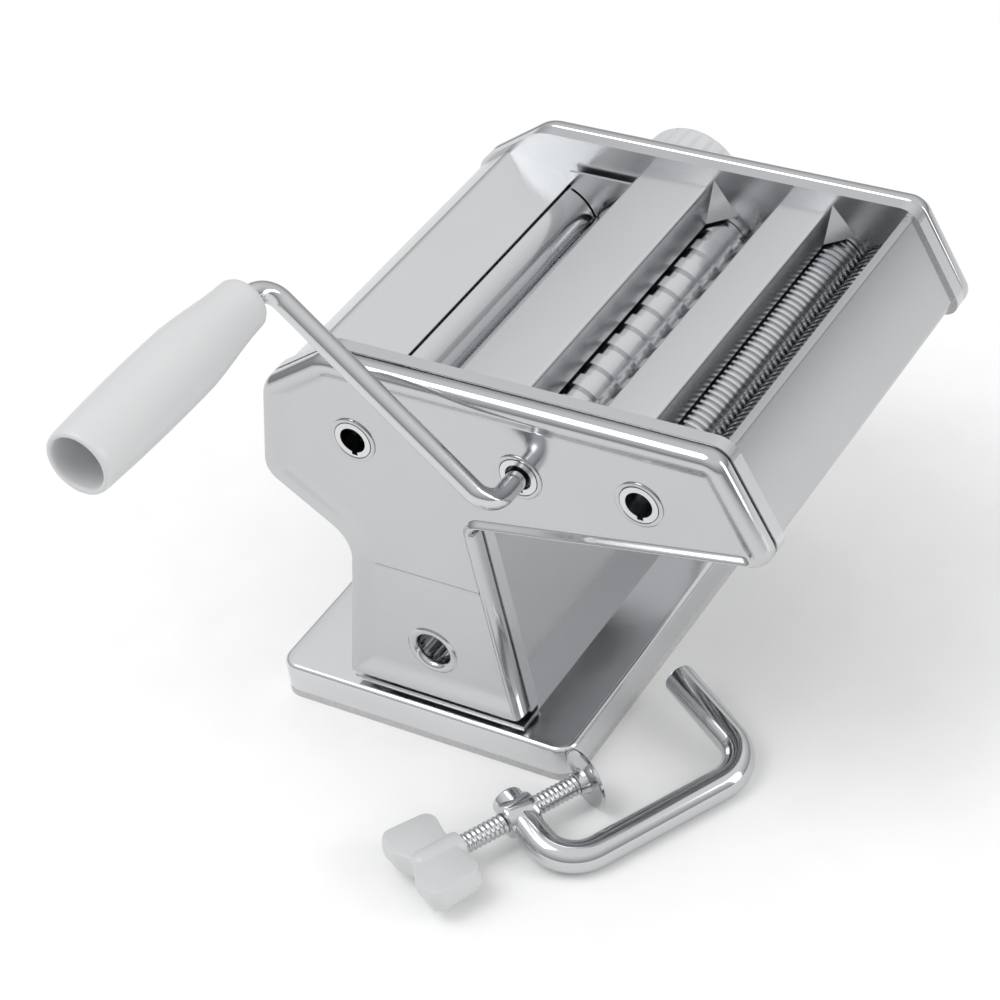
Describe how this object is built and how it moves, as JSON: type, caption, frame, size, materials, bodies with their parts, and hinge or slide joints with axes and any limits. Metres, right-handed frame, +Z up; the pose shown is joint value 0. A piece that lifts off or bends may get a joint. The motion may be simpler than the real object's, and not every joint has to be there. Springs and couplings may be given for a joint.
{
  "type": "hand-cranked pasta machine",
  "caption": "Hand-cranked pasta machine on a flat base: smooth sheet rollers with a gap dial, wide and narrow cutters, removable crank and loose table clamp.",
  "frame": {"origin": "middle of the base's underside, on the surface that the machine stands on", "axes": "+Z up; +Y along the rollers, from the crank's end to the dial's end; +X from the smooth rollers to the cutters"},
  "size_m": [0.221, 0.3276, 0.231],
  "materials": {
    "chrome_body": "polished chromed sheet",
    "cover_top": "bright bent sheet",
    "frame_steel": "plated sheet",
    "roller_metal": "polished",
    "cutter_metal": "polished discs",
    "gear_steel": "dull steel",
    "bush_bronze": "plain bearing metal",
    "dark_steel": "thin dull steel",
    "rod_chrome": "polished round rod",
    "white_plastic": "smooth white",
    "ring_plastic": "smooth white",
    "mat_rubber": "grey non-slip"
  },
  "bodies": {
    "machine": {"base_plate": "chrome_body", "base_mat": "mat_rubber", "near_frame_plate": "frame_steel", "far_frame_plate": "frame_steel", "near_outer_cover": "chrome_body", "far_outer_cover": "chrome_body", "front_pedestal_panel": "chrome_body", "rear_cover": "cover_top", "mid_cover": "cover_top", "second_cover": "cover_top", "front_apron": "cover_top", "near_cheeks": "cover_top", "far_cheeks": "cover_top", "tie_rods": "frame_steel", "tie_nuts": "frame_steel", "near_bushes": "bush_bronze", "far_bushes": "bush_bronze", "socket_rings": "chrome_body", "smooth_scrapers": "dark_steel", "wide_combs": "dark_steel", "narrow_combs": "dark_steel", "clamp_sleeve": "chrome_body", "index_ring": "ring_plastic", "near_shaft_bearing": "bush_bronze", "foot_screws": "frame_steel"},
    "smooth_fixed": {"fixed_smooth_roller": "roller_metal", "fixed_smooth_gear": "gear_steel"},
    "gap_carriage": {"near_bearing_bracket": "frame_steel", "far_bearing_bracket": "frame_steel"},
    "smooth_adjustable": {"adjustable_roller": "roller_metal", "adjustable_gear": "gear_steel"},
    "gap_control": {"gap_shaft": "dark_steel", "dial_washer": "dark_steel", "dial_spring": "dark_steel"},
    "dial": {"dial_knob": "white_plastic", "dial_cap": "white_plastic", "dial_pin": "dark_steel"},
    "wide_drive": {"wide_drive_cutter": "cutter_metal", "wide_drive_gear": "gear_steel"},
    "wide_mate": {"wide_mate_cutter": "cutter_metal", "wide_mate_gear": "gear_steel"},
    "narrow_drive": {"narrow_drive_cutter": "cutter_metal", "narrow_drive_gear": "gear_steel"},
    "narrow_mate": {"narrow_mate_cutter": "cutter_metal", "narrow_mate_gear": "gear_steel"},
    "crank": {"crank_rod": "rod_chrome"},
    "grip": {"crank_grip": "white_plastic", "grip_plug": "white_plastic"},
    "clamp": {"clamp_frame": "rod_chrome"},
    "pad": {"clamp_pad": "rod_chrome"},
    "screw": {"clamp_screw": "rod_chrome", "wing_knob": "white_plastic"}
  },
  "joints": [
    {"name": "smooth_roller_turn", "type": "hinge", "parent": "machine", "child": "smooth_fixed", "pos_m": [-0.0124, 0, 0.1385], "axis": [0, 1, 0], "continuous": true},
    {"name": "dial_turn", "type": "hinge", "parent": "machine", "child": "gap_control", "pos_m": [0.0232, 0, 0.1385], "axis": [0, 1, 0], "range_deg": [-60, 60]},
    {"name": "gap_slide", "type": "slide", "parent": "machine", "child": "gap_carriage", "axis": [1, 0, 0], "range_m": [-0.0013, 0.0013]},
    {"name": "adjustable_roller_turn", "type": "hinge", "parent": "gap_carriage", "child": "smooth_adjustable", "pos_m": [0.0232, 0, 0.1385], "axis": [0, 1, 0], "continuous": true},
    {"name": "knob_pull", "type": "slide", "parent": "gap_control", "child": "dial", "axis": [0, 1, 0], "range_m": [0, 0.004], "stiffness_N_per_m": 400, "springref_m": -0.006},
    {"name": "wide_cutter_turn", "type": "hinge", "parent": "machine", "child": "wide_drive", "pos_m": [0.0576, 0, 0.1425], "axis": [0, 1, 0], "continuous": true},
    {"name": "wide_mate_turn", "type": "hinge", "parent": "machine", "child": "wide_mate", "pos_m": [0.0806, 0, 0.1425], "axis": [0, 1, 0], "continuous": true},
    {"name": "narrow_cutter_turn", "type": "hinge", "parent": "machine", "child": "narrow_drive", "pos_m": [0.1058, 0, 0.145], "axis": [0, 1, 0], "continuous": true},
    {"name": "narrow_mate_turn", "type": "hinge", "parent": "machine", "child": "narrow_mate", "pos_m": [0.1288, 0, 0.145], "axis": [0, 1, 0], "continuous": true},
    {"name": "crank_pull", "type": "slide", "parent": "wide_drive", "child": "crank", "axis": [0, -1, 0], "range_m": [0, 0.025]},
    {"name": "grip_spin", "type": "hinge", "parent": "crank", "child": "grip", "pos_m": [-0.02285, -0.15, 0.21752], "axis": [0, 1, 0], "continuous": true},
    {"name": "clamp_move", "type": "slide", "parent": "machine", "child": "clamp", "axis": [1, 0, 0], "range_m": [0, 0.12]},
    {"name": "clamp_pad_travel", "type": "slide", "parent": "clamp", "child": "pad", "axis": [0.4617, 0.887, 0], "range_m": [-0.018, 0.015]},
    {"name": "clamp_screw_turn", "type": "hinge", "parent": "pad", "child": "screw", "pos_m": [0.076, -0.095, 0.0122], "axis": [0.4617, 0.887, 0], "range_deg": [-3240, 2700]}
  ],
  "couplings": [
    {"joint": "adjustable_roller_turn", "follows": "smooth_roller_turn", "ratio": -1},
    {"joint": "dial_turn", "follows": "gap_slide", "rad_per_m": 806.13},
    {"joint": "wide_mate_turn", "follows": "wide_cutter_turn", "ratio": -1},
    {"joint": "narrow_mate_turn", "follows": "narrow_cutter_turn", "ratio": -1},
    {"joint": "clamp_screw_turn", "follows": "clamp_pad_travel", "rad_per_m": 3141.6}
  ]
}
